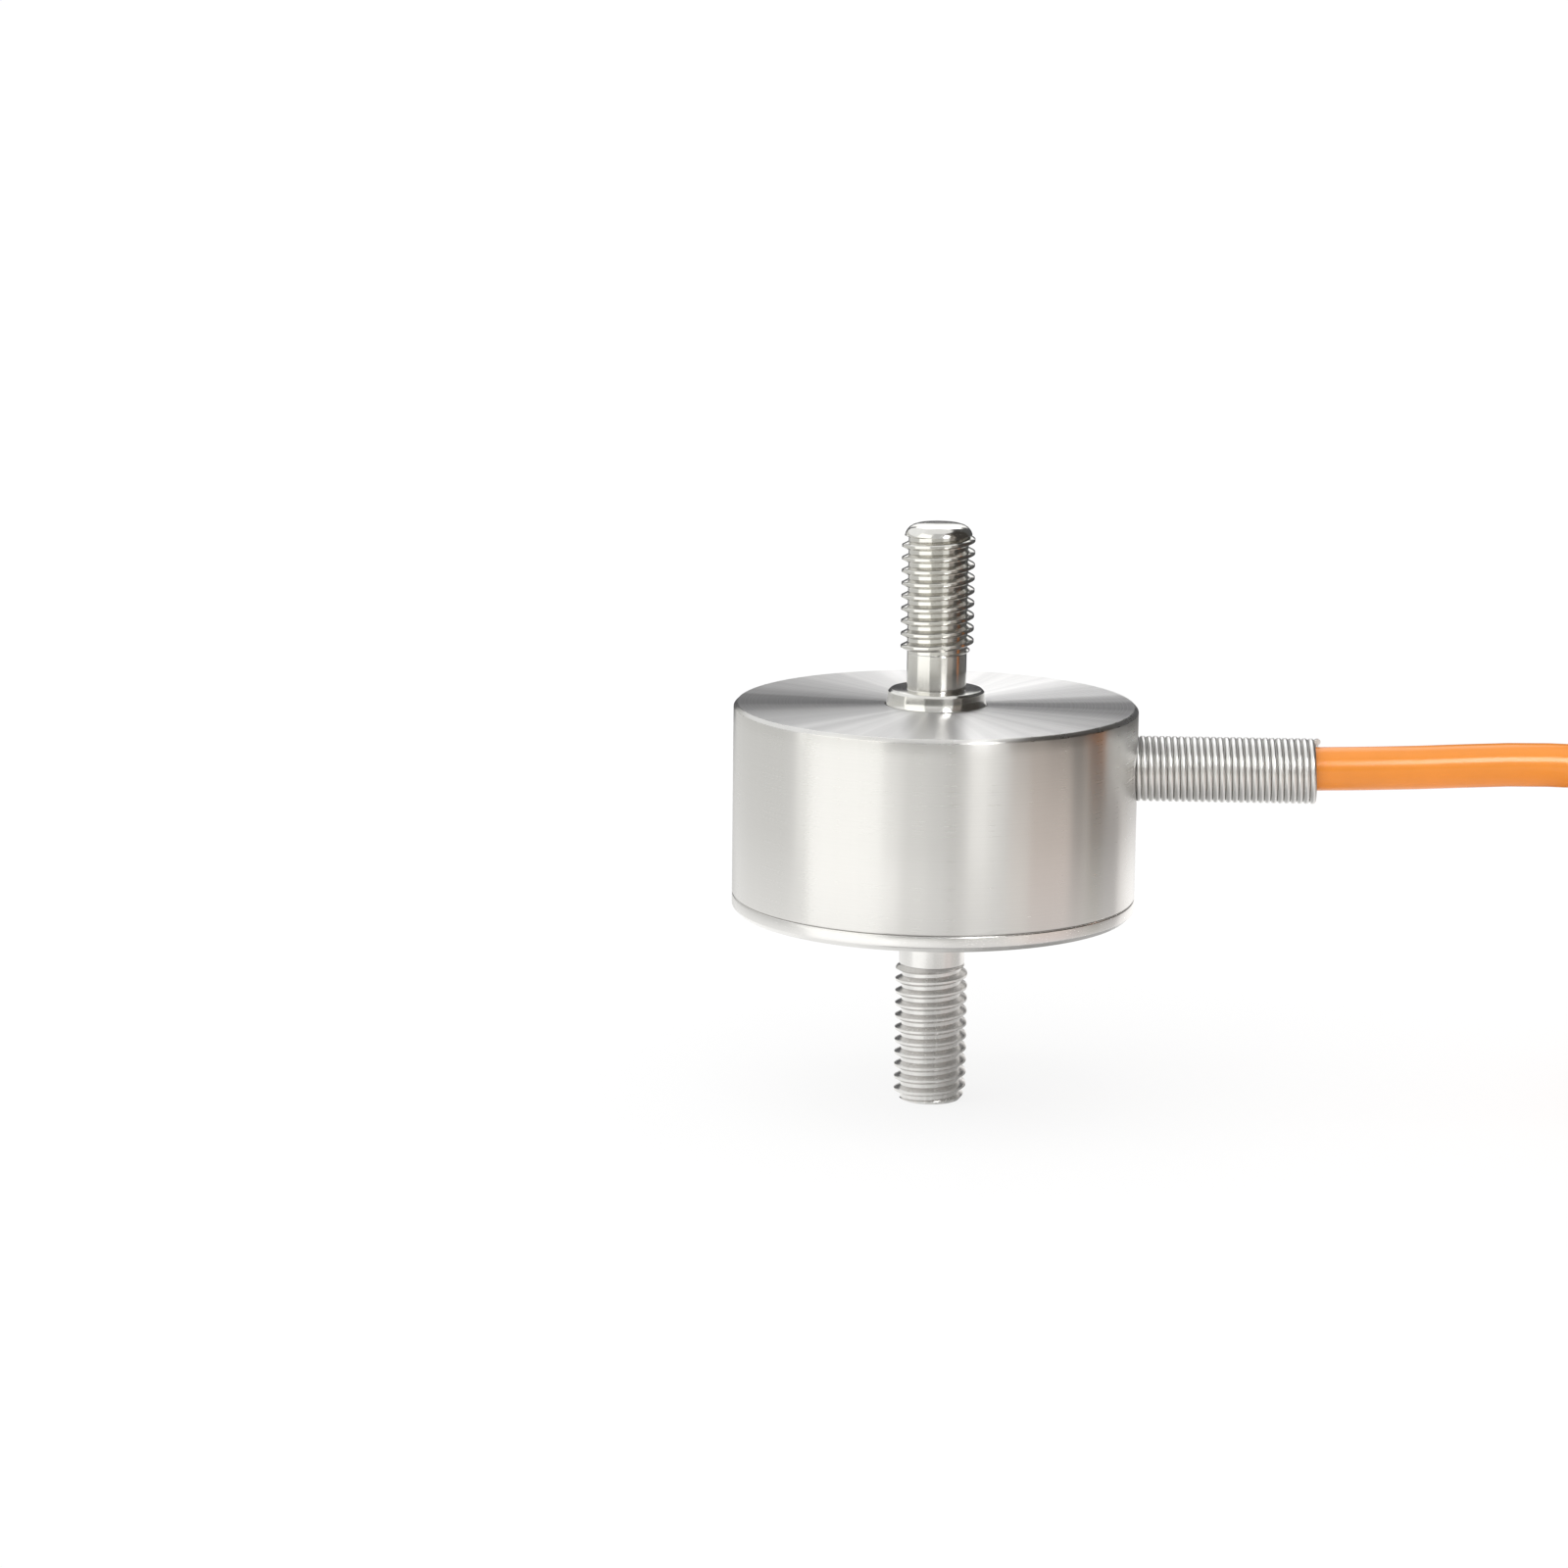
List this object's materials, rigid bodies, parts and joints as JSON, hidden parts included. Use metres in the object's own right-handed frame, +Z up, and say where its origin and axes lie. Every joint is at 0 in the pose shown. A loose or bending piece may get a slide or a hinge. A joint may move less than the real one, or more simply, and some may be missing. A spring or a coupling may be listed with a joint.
{
  "type": "miniature force sensor",
  "caption": "Round stainless force sensor with a threaded stud above and below, a spring strain relief on its side and a cable ending in stripped leads.",
  "frame": {"origin": "centre of the base face, the underside of the base plate round the lower stud", "axes": "+Z up along the measuring axis through both studs, +X along the cable's exit"},
  "size_m": [0.1441, 0.0391, 0.0465],
  "materials": {
    "housing_steel": "fine turned",
    "base_steel": "fine turned",
    "stud_steel": "turned and threaded",
    "spring_steel": "drawn wire",
    "nipple_steel": "turned",
    "cable_jacket": "smooth extruded",
    "seal_rubber": "moulded",
    "gauge_foil": "polyimide film",
    "board_laminate": "solder mask",
    "chip_body": "fired",
    "lead_copper": "enamelled",
    "core_red": "extruded",
    "core_black": "extruded",
    "core_green": "extruded",
    "core_white": "extruded",
    "tie_nylon": "moulded",
    "sleeve_film": "heat-shrunk",
    "tinned_copper": "tinned"
  },
  "bodies": {
    "root": {"housing": "housing_steel", "base_plate": "base_steel", "sensing_element": "stud_steel", "spring_strain_relief": "spring_steel", "cable_nipple": "nipple_steel", "cable_ferrule": "nipple_steel", "base_seal": "seal_rubber", "terminal_board": "board_laminate", "gauge_leads": "lead_copper", "cable_run": "cable_jacket", "cable_hank": "cable_jacket", "cable_tail": "cable_jacket", "hank_tie": "tie_nylon", "end_sleeve": "sleeve_film", "lead_tips": "tinned_copper", "shield_drain": "tinned_copper", "strain_gauge_1": "gauge_foil", "strain_gauge_2": "gauge_foil", "strain_gauge_3": "gauge_foil", "strain_gauge_4": "gauge_foil", "trim_resistor_1": "chip_body", "trim_resistor_2": "chip_body", "trim_resistor_3": "chip_body", "core_red": "core_red", "lead_red": "core_red", "core_black": "core_black", "lead_black": "core_black", "core_green": "core_green", "lead_green": "core_green", "core_white": "core_white", "lead_white": "core_white"}
  },
  "joints": []
}
